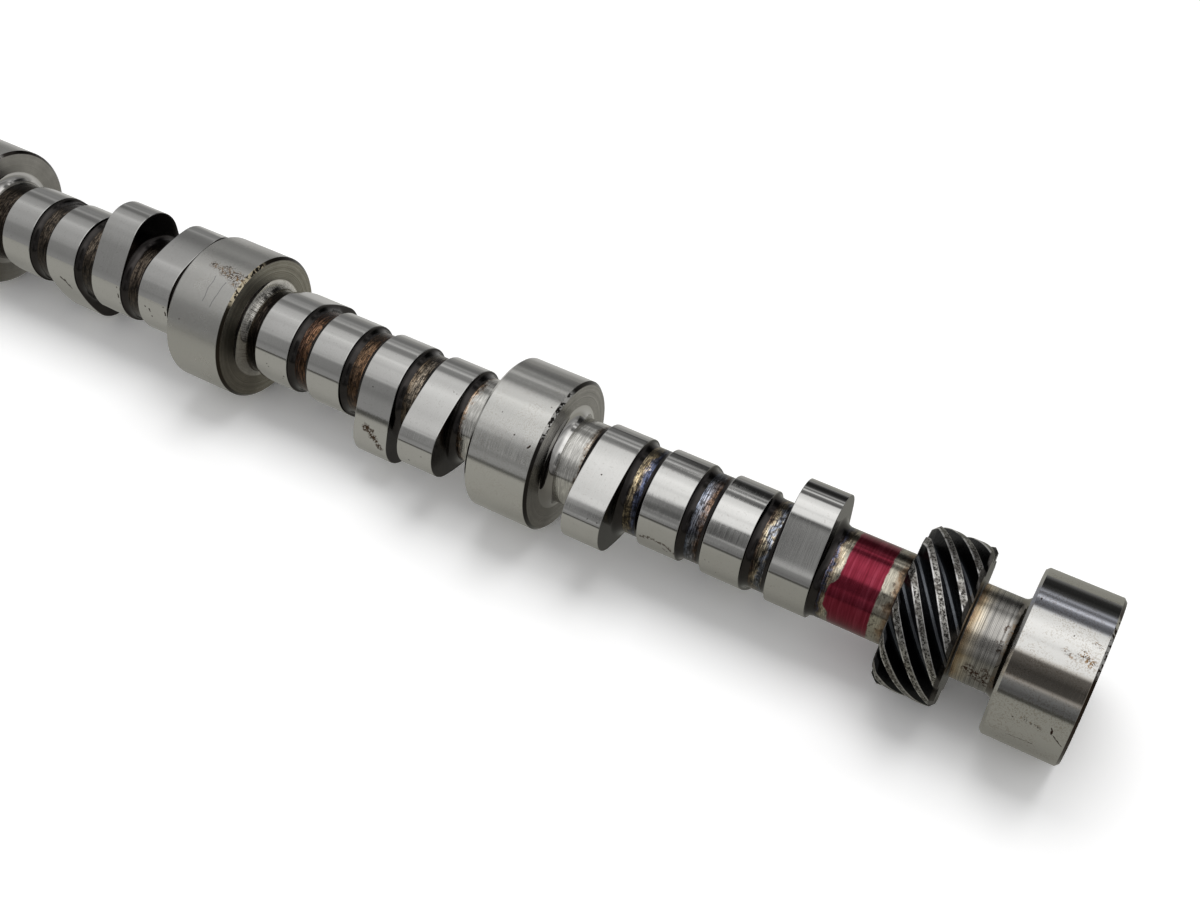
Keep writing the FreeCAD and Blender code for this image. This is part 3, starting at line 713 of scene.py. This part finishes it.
# painted shade: the neck darkens low on the camera's side, from about 60 degrees round from the top
painted_shade_low = step(angle, 48.0, 72.0)
tint = blended(times(painted_shade_low, 0.45), tint, blended(0.5, tint, (0.05, 0.045, 0.035)))
RUSTED = ((NECK_OUT, 1.6, 474.6, 80.0, 479.8, 92.0), (NECK_OUT, 0.9, 479.0, 74.0, 480.4, 84.0),
          (NECK_OUT, 0.7, 479.8, 16.0, 480.6, 24.0), (NECK_OUT, 0.7, 479.6, 36.0, 480.4, 44.0))
rust = marks(place, RUSTED, 0.0024, 0.0008)
tint = blended(times(rust, step(fine, 0.46, 0.54)), tint, (0.05, 0.025, 0.014))
surface(shader, tint, scaled(patches, 0.2, 0.16), lathe, 0.5, 0.00005)
neck = turned("neck", [(NECK_FRONT, 0.0), (NECK_FRONT, NECK_OUT), (NECK_REAR, NECK_OUT), (NECK_REAR, 0.0)],
              [0.2, 0.2])
finish_piece(neck, neck_steel)

# Rear journal: the brightest of the five, ground to a near mirror, with rust beside its rear edge.
# The lathe's centre hole, a cone with a drilled bottom, stays in its rear face.
CENTRE_MOUTH = 4.5
CENTRE_DRILL = 1.6
CENTRE_DEPTH = 9.5
CENTRE_POINT = 0.6
CENTRE_CONE = (CENTRE_MOUTH - CENTRE_DRILL) / tan(radians(30.0))
NECK_STUB = 3.0
NECK_ROOT = 2.2
COVE_OUT = 14.4
COVE_RUST = ((12.0, 26.0), (33.0, 46.0), (78.0, 92.0))
front, rear = REAR_JOURNAL
piece = turned("journal_5", [(front - NECK_STUB, 0.0), (front - NECK_STUB, NECK_ROOT_OUT),
                             (front, NECK_ROOT_OUT), *ground_band(front, rear), (rear, CENTRE_MOUTH),
                             (rear - CENTRE_CONE, CENTRE_DRILL), (rear - CENTRE_DEPTH, CENTRE_DRILL),
                             (rear - CENTRE_DEPTH - CENTRE_POINT, 0.0)],
               [0.01, NECK_ROOT, 0.06, BEVEL_ROUND, BEVEL_ROUND, 0.06, 0.05, 0.05, 0.05])
journal_five = ground(
    "journal_steel_5", rear, (0.61, 0.605, 0.585), 0.085, (0.27, 0.25, 0.22), (0.27, 0.25, 0.22),
    (0.03, 0.02, 0.015), lines=0.2, mottle=0.05, freckles=0.55,
    # the tints are painted reflection colours, cool near the top and warm lower down
    tints=((-11.0, 5.0, (0.90, 0.93, 1.06)), (36.0, 54.0, (1.04, 0.95, 0.86))),
    patched=[*on_rim((1.2, 499.4, 23.6, 501.8, 26.8), (0.5, 494.8, 24.8, 497.0, 27.2),
                     (0.4, 500.8, 13.2, 502.4, 14.2), (0.4, 492.0, 75.5, 496.5, 78.2)),
             *((COVE_OUT, 0.9, 481.6, low, 481.8, high) for low, high in COVE_RUST)],
    spots=on_rim((0.25, 484.9, -1.0), (0.22, 495.6, 14.3), (0.2, 489.5, 78.0), (0.13, 492.9, 75.9),
                 (0.14, 494.3, 77.8), (0.18, 496.1, 78.0), (0.26, 499.2, 74.1, 499.6, 78.4),
                 (0.14, 499.8, 78.6, 502.8, 84.7), (0.09, 489.5, 96.6, 496.3, 95.0)))
finish_piece(piece, journal_five)

# Front journal and nose: the sprocket's seat with three tapped holes and a dowel hole, and its
# pilot with the lathe's centre hole. The holes run on into the journal, so all is one piece.
SEAT_OUT = 20.0
SEAT_FACE = -15.6
PILOT_OUT = 10.9
FRONT_END = -18.8
NOSE_BEVEL = 0.8
HOLE_CIRCLE = 15.1
HOLES = ((0.0, 3.97, 10.9), (60.0, 3.3, 22.0), (180.0, 3.3, 22.0), (300.0, 3.3, 22.0))
HOLE_MOUTH = 0.45
DRILL_POINT = 1.2
HALF_SECTOR = 16
FACE_ROWS = 9
# points within the first distance are merged, and a ring as small as the second becomes a pole
MERGED = 0.004
HAIR = 0.001


def grid_faces(rows, columns, start, closed):
    """Quads of a grid of points numbered row by row from a start, closed round its columns or open."""
    number = start + np.arange(rows * columns).reshape(rows, columns)
    beside = np.roll(number, -1, axis=1)
    last = columns if closed else columns - 1
    return np.stack([number[:-1, :last], beside[:-1, :last], beside[1:, :last], number[1:, :last]],
                    axis=-1).reshape(-1, 4)


def nose_mesh(name):
    """Turned sections inside and outside a flat face, which is a fan of grids round four holes.

    The inner section goes down the pilot's centre hole, and the outer one over the seat and the
    front journal to a stub of the shaft behind it. Each grid runs from a hole's rim to the edge
    of its sector along straight lines, and below the rim the hole is a lathe section about its
    own axis. Shared edges fall on the same points and are merged.
    """
    points, faces = [], []

    def add(grid, closed):
        faces.append(grid_faces(grid.shape[0], grid.shape[1], sum(len(p) for p in points), closed))
        points.append(grid.reshape(-1, 3))

    def ring(section):
        return about(section[:, :1], section[:, 1:], turn)

    inner = rounded([(FRONT_END + CENTRE_DEPTH + CENTRE_POINT, HAIR),
                     (FRONT_END + CENTRE_DEPTH, CENTRE_DRILL), (FRONT_END + CENTRE_CONE, CENTRE_DRILL),
                     (FRONT_END, CENTRE_MOUTH), (FRONT_END, PILOT_OUT - NOSE_BEVEL),
                     (FRONT_END + NOSE_BEVEL, PILOT_OUT),
                     (SEAT_FACE - HAIR, PILOT_OUT)], [0.05, 0.05, 0.05, 0.06, BEVEL_ROUND])
    inner[-1] = (SEAT_FACE, PILOT_OUT)
    rim_out = SEAT_OUT - NOSE_BEVEL - 0.1
    outer = rounded([(SEAT_FACE, rim_out), (SEAT_FACE, SEAT_OUT - NOSE_BEVEL),
                     (SEAT_FACE + NOSE_BEVEL, SEAT_OUT), (-JOURNAL_HALF, SEAT_OUT),
                     *ground_band(-JOURNAL_HALF, JOURNAL_HALF), (JOURNAL_HALF, ROOT_OUT),
                     (JOURNAL_HALF + JOURNAL_STUB, ROOT_OUT),
                     (JOURNAL_HALF + JOURNAL_STUB, HAIR)],
                    [0.03, BEVEL_ROUND, 0.3, 0.06, BEVEL_ROUND, BEVEL_ROUND, 0.06, JOURNAL_ROOT, 0.01],
                    guard=0.03)
    add(ring(inner), True)
    add(ring(outer), True)
    across = np.linspace(PILOT_OUT, rim_out, FACE_ROWS)
    edges = []
    for middle_degrees, hole_out, hole_depth in HOLES:
        middle_step = int(round(middle_degrees * AROUND / 360.0))
        begin, end = middle_step - HALF_SECTOR, middle_step + HALF_SECTOR
        edges.append((begin, end))
        angle = np.arange(begin, end + 1) * (2.0 * np.pi / AROUND)
        side = np.ones(FACE_ROWS - 1)
        arc = np.ones(2 * HALF_SECTOR)
        loop_out = np.concatenate([arc * PILOT_OUT, across[:-1], arc * rim_out, across[:0:-1]])
        loop_angle = np.concatenate([angle[:-1], side * angle[-1], angle[:0:-1], side * angle[0]])
        loop = np.stack([-loop_out * np.sin(loop_angle), loop_out * np.cos(loop_angle)], axis=-1)
        middle = radians(middle_degrees)
        centre = HOLE_CIRCLE * np.array([-np.sin(middle), np.cos(middle)])
        away = (loop - centre) / np.linalg.norm(loop - centre, axis=1, keepdims=True)
        mouth = hole_out + HOLE_MOUTH
        part = np.array([0.0, 0.02, 0.25, 0.6, 1.0])[:, None, None]
        flat = (centre + away * mouth) * (1.0 - part) + loop * part
        face = np.concatenate([np.full(flat.shape[:2] + (1,), SEAT_FACE), flat], axis=-1)
        add(face[::-1], True)
        bottom = SEAT_FACE + hole_depth
        wall = rounded([(SEAT_FACE, mouth), (SEAT_FACE + HOLE_MOUTH, hole_out), (bottom, hole_out),
                        (bottom + DRILL_POINT, HAIR)], [0.05, 0.05], guard=0.03)
        walls = np.concatenate([np.broadcast_to(wall[:, None, :1], (len(wall), len(away), 1)),
                                centre + away * wall[:, None, 1:]], axis=-1)
        add(walls, True)
    for (_, begin), (end, _) in zip(edges, edges[1:] + [(edges[0][0] + AROUND, 0)]):
        add(about(SEAT_FACE, across[:, None], np.arange(begin, end + 1) * (2.0 * np.pi / AROUND)), False)
    mesh = bpy.data.meshes.new(name)
    mesh.from_pydata((np.concatenate(points) * MM).tolist(), [], np.concatenate(faces).tolist())
    built = bmesh.new()
    built.from_mesh(mesh)
    bmesh.ops.remove_doubles(built, verts=built.verts, dist=MERGED * MM)
    bmesh.ops.recalc_face_normals(built, faces=built.faces)
    if built.calc_volume(signed=True) < 0.0:
        bmesh.ops.reverse_faces(built, faces=built.faces)
    built.to_mesh(mesh)
    built.free()
    mesh.shade_smooth()
    centres = np.empty(3 * len(mesh.polygons))
    mesh.polygons.foreach_get("center", centres)
    along, across, up = centres.reshape(-1, 3).T / MM
    outside = (np.hypot(across, up) > SEAT_OUT - 1.0) | (along > JOURNAL_HALF - 2.0)
    journal_faces = (along > -JOURNAL_HALF - 0.02) & outside
    mesh.polygons.foreach_set("material_index", journal_faces.astype(np.int32))
    return placed(name, mesh)


nose_steel, shader, place = steel("nose_steel", (0.45, 0.44, 0.42), 0.3)
along, out, _ = polar(place)
patches = clouded(place, 200.0)
lathe = lined(place, 5000.0, 50.0, 3.0, 0.7)
ends = between(along, (SEAT_FACE - 0.1, SEAT_FACE), (SEAT_FACE + 0.1, SEAT_FACE))
ends = larger(step(along, FRONT_END + 0.1, FRONT_END - 0.1), ends)
lines = blended(ends, lathe, ringed_noise(times(out, 2.0), 4.0))
tone = blended(patches, (0.38, 0.375, 0.355), (0.52, 0.515, 0.49))
tone = tinted(tone, ramp(lines, [(0.34, 0.6), (0.5, 1.0), (0.66, 1.2)]))
# painted shade: the holes and the centre hole are made dark more than about 1.3 mm below the seat face
painted_shade_deep = times(step(along, SEAT_FACE + 0.6, SEAT_FACE + 2.0),
             step(out, SEAT_OUT - 0.3, SEAT_OUT - 0.6))
tone = blended(painted_shade_deep, tone, (0.09, 0.08, 0.07))
surface(shader, tone, scaled(patches, 0.16, 0.14), lines, 0.4, 0.00004)
piece = nose_mesh("journal_1_and_nose")
finish_piece(piece, nose_steel)
piece.data.materials.append(finishes[0])

# Dowel: a hardened and ground pin with bevelled ends, pressed into its hole in the seat. It
# stands proud of the face and times the sprocket to the shaft.
DOWEL_OUT = 3.95
DOWEL_FRONT, DOWEL_REAR = -23.6, -4.6
DOWEL_BEVEL = 0.7
dowel_steel, shader, place = steel("dowel_steel", (0.5, 0.5, 0.5), 0.2)
patches = clouded(place, 600.0)
lines = lined(place, 300.0, 6000.0)
tone = ramp(patches, [(0.36, (0.38, 0.37, 0.35)), (0.52, (0.54, 0.535, 0.52)),
                      (0.70, (0.60, 0.595, 0.58))])
surface(shader, tone, scaled(patches, 0.20, 0.10), lines, 0.3, 0.00003)
dowel = turned("dowel", [(DOWEL_FRONT, 0.0), (DOWEL_FRONT, DOWEL_OUT - DOWEL_BEVEL),
                         (DOWEL_FRONT + DOWEL_BEVEL, DOWEL_OUT), (DOWEL_REAR - DOWEL_BEVEL, DOWEL_OUT),
                         (DOWEL_REAR, DOWEL_OUT - DOWEL_BEVEL), (DOWEL_REAR, 0.0)], [0.1, 0.1, 0.1, 0.1])
dowel.data.transform(Matrix.Translation((0.0, 0.0, HOLE_CIRCLE * MM)))
finish_piece(dowel, dowel_steel, "dowel_pin")

# Studio: a pale floor that the journals rest on, whose far part goes white, a soft lamp behind
# and above, and the camera at the photograph's angle. The room that the steel mirrors is painted
# on the sky in bands round the shaft's axis, and on the floor in patches that only it sees.
FLOOR = -JOURNAL_OUT * MM
FLOOR_CORNERS = ((-2.5, -3.0), (3.0, -3.0), (3.0, 3.0), (-2.5, 3.0))
BRIGHT_TABLE, MIDDLE_TABLE, DULL_TABLE = (0.62, 0.615, 0.60), (0.46, 0.455, 0.42), (0.34, 0.335, 0.30)
BLACK, WHITE = (0.0, 0.0, 0.0), (1.0, 1.0, 1.0)
PLAIN_ROOM = (0.6, 0.6, 0.6)
SHADOW_MIDDLE = 0.24
SHADOW_REACH = (0.42, 0.26)
floor_mesh = bpy.data.meshes.new("floor")
floor_mesh.from_pydata([(x, y, FLOOR) for x, y in FLOOR_CORNERS], [], [(0, 1, 2, 3)])
floor = placed("floor", floor_mesh)
floor_paint, shader, place = steel("floor_paint", (0.9, 0.9, 0.9), 0.95, 0.0)
shader.inputs["Specular IOR Level"].default_value = 0.0
rays = node("LightPath", {}, shader.id_data).outputs
seen, glossy = rays["Is Camera Ray"], rays["Is Glossy Ray"]
where = node("SeparateXYZ", {0: place}).outputs
leftward = step(where[0], 0.47, 0.25)
table = blended(leftward, DULL_TABLE, MIDDLE_TABLE)
table = blended(times(leftward, step(where[1], 0.02, 0.08)), table, BRIGHT_TABLE)
# the table that the steel mirrors is darker far in front, and behind but for one narrow card
ahead = step(scaled(where[1], -0.7, where[0]), 0.205, 0.235)
ahead = times(step(where[1], -0.24, -0.45), times(ahead, 0.75))
card = between(scaled(where[1], 0.7, where[0]), (0.200, 0.207), (0.245, 0.238))
rearward = times(step(where[1], 0.02, 0.25), step(where[0], 0.47, 0.35))
rearward = times(rearward, scaled(card, -0.45, 0.45))
table = blended(larger(ahead, rearward), table, BLACK)
# the camera sees the shadow round the shaft, and plain white beyond it
apart = vector("MULTIPLY_ADD", place, (1.0 / SHADOW_REACH[0], 1.0 / SHADOW_REACH[1], 0.0),
               (-SHADOW_MIDDLE / SHADOW_REACH[0], 0.0, 0.0))
apart = node("VectorMath", {0: apart}, operation="LENGTH").outputs["Value"]
beyond = step(apart, 1.0, 1.8)
shaded = blended(beyond, (1.2, 1.2, 1.2), BLACK)
mirrored = times(glossy, 0.5)
halved = blended(mirrored, table, BLACK)
glow = scaled(seen, beyond, mirrored)
feed(blended(seen, halved, shaded), shader.inputs["Base Color"])
feed(blended(seen, table, WHITE), shader.inputs["Emission Color"])
feed(glow, shader.inputs["Emission Strength"])
floor.data.materials.append(floor_paint)

world = bpy.data.worlds.new("studio")
bpy.context.scene.world = world
world.use_nodes = True
rays = node("LightPath", {}, world.node_tree).outputs
direction = node("TexCoord", {}, world.node_tree).outputs["Generated"]
x, y, z = node("SeparateXYZ", {0: direction}).outputs
tilt = sums("ARCTAN2", times(y, -1.0), z)
sideways = sums("ABSOLUTE", x)
# the bands stand a little wider apart where lobes 13 and 14 mirror them
drawn = times(between(sideways, (0.242, 0.256), (0.354, 0.338)), -0.15)
drawn = times(sums("SUBTRACT", tilt, radians(2.5)), drawn)
spot = scaled(plus(tilt, drawn), 1.0 / (2.0 * np.pi), 0.5)
# grey of each band by its degrees from the top, for near pieces, middle ones and far ones
NEAR = ((-180, 0.30), (-92, 0.26), (-85.5, 0.105), (-81, 0.03), (-70, 0.02), (-61.5, 0.06), (-58.5, 0.22),
        (-55.5, 0.53), (-52.5, 0.25), (-49.5, 0.16), (-46.5, 0.60), (-43.5, 1.0), (-40.5, 0.29),
        (-37, 0.20), (-32, 0.13), (-29, 0.24), (-25.5, 0.98), (-15, 1.15), (-5.5, 1.36), (8, 1.27),
        (14, 1.08), (19, 1.2), (31, 1.14), (34.5, 0.80), (37.5, 0.15), (53, 0.05), (66, 0.07),
        (70.5, 0.42), (74, 0.22), (86, 0.10), (97, 0.16), (180, 0.25))
MIDDLE = ((-180, 0.30), (-95.5, 0.366), (-89.5, 0.28), (-80.5, 0.207), (-74.5, 0.227), (-68.5, 0.42),
          (-62.5, 0.31), (-56.5, 0.59), (-53.5, 0.71), (-50.5, 0.40), (-47.5, 0.30), (-38.5, 0.29),
          (-35.5, 0.35), (-32.5, 0.62), (-29.5, 0.73), (-20.5, 0.83), (-14.5, 0.78), (-8.5, 1.04),
          (-2.5, 0.89), (3.5, 0.82), (9.5, 0.73), (15.5, 0.79), (36.5, 0.70), (42.5, 0.58), (45.5, 0.62),
          (48.5, 0.38), (51.5, 0.26), (75.5, 0.227), (80.5, 0.31), (104, 0.32), (180, 0.28))
FAR = ((-180, 0.32), (-90, 0.30), (-85.5, 0.275), (-77.5, 0.31), (-69.5, 0.275), (-62, 0.44), (-55, 0.22),
       (-45.5, 0.21), (-37.5, 0.39), (-22, 0.49), (-13.5, 0.67), (-5.5, 0.58), (10, 0.49), (26.5, 0.48),
       (42.5, 0.39), (50, 0.28), (70, 0.25), (82, 0.30), (106, 0.38), (180, 0.34))
# light added to the dark band ahead, by how far sideways the mirrored room lies, and under it
GAP_LIFT = ((0.06, 0.0), (0.11, 0.26), (0.193, 0.26), (0.209, 0.04), (0.335, 0.04), (0.354, 0.30),
            (0.402, 0.30), (0.418, 0.02), (0.551, 0.02), (0.557, 0.16), (0.591, 0.16), (0.597, 0.02),
            (1.0, 0.0))
near, middle, far = (ramp(spot, [((degrees + 180.0) / 360.0, tone) for degrees, tone in bands])
                     for bands in (NEAR, MIDDLE, FAR))
bands = blended(straight(sideways, 0.235, 0.42), near, middle)
bands = blended(straight(sideways, 0.45, 0.62), bands, far)
degrees = times(tilt, 180.0 / np.pi)
gap = times(between(degrees, (39.0, 43.0), (74.0, 69.0)), ramp(sideways, GAP_LIFT))
under = times(between(sideways, (0.06, 0.11), (0.44, 0.40)), 0.11)
under = times(step(degrees, 68.0, 74.0), under)
bands = blended(plus(gap, under), bands, WHITE)
seen = blended(rays["Is Camera Ray"], blended(rays["Is Glossy Ray"], PLAIN_ROOM, bands), WHITE)
feed(seen, world.node_tree.nodes["Background"].inputs["Color"])

LAMP_SIZE = (1.0, 0.8)
LAMP_WATTS = 8.0
LAMP_AT = (0.32, 0.45, 1.25)
LAMP_AIM = (0.3, 0.0, 0.0)
lamp_data = bpy.data.lights.new("soft_lamp", "AREA")
lamp_data.shape = "RECTANGLE"
lamp_data.size, lamp_data.size_y = LAMP_SIZE
lamp_data.energy = LAMP_WATTS
lamp = placed("soft_lamp", lamp_data)
lamp.location = LAMP_AT
lamp.rotation_euler = (Vector(LAMP_AIM) - lamp.location).to_track_quat("-Z", "Y").to_euler()
lamp.visible_glossy = False

CAMERA_AT = (0.49115, -0.236455, 0.317643)
CAMERA_AIM = (-0.32601708, 0.57534764, -0.7501253)
SENSOR_WIDTH = 36.0
LENS = 42.690
NEAREST = 0.01
camera_data = bpy.data.cameras.new("camera")
camera = placed("camera", camera_data)
camera.location = CAMERA_AT
camera.rotation_euler = Vector(CAMERA_AIM).to_track_quat("-Z", "Y").to_euler()
camera_data.sensor_width = SENSOR_WIDTH
camera_data.lens = LENS
camera_data.clip_start = NEAREST
bpy.context.scene.camera = camera
bpy.context.scene.view_settings.view_transform = "Standard"
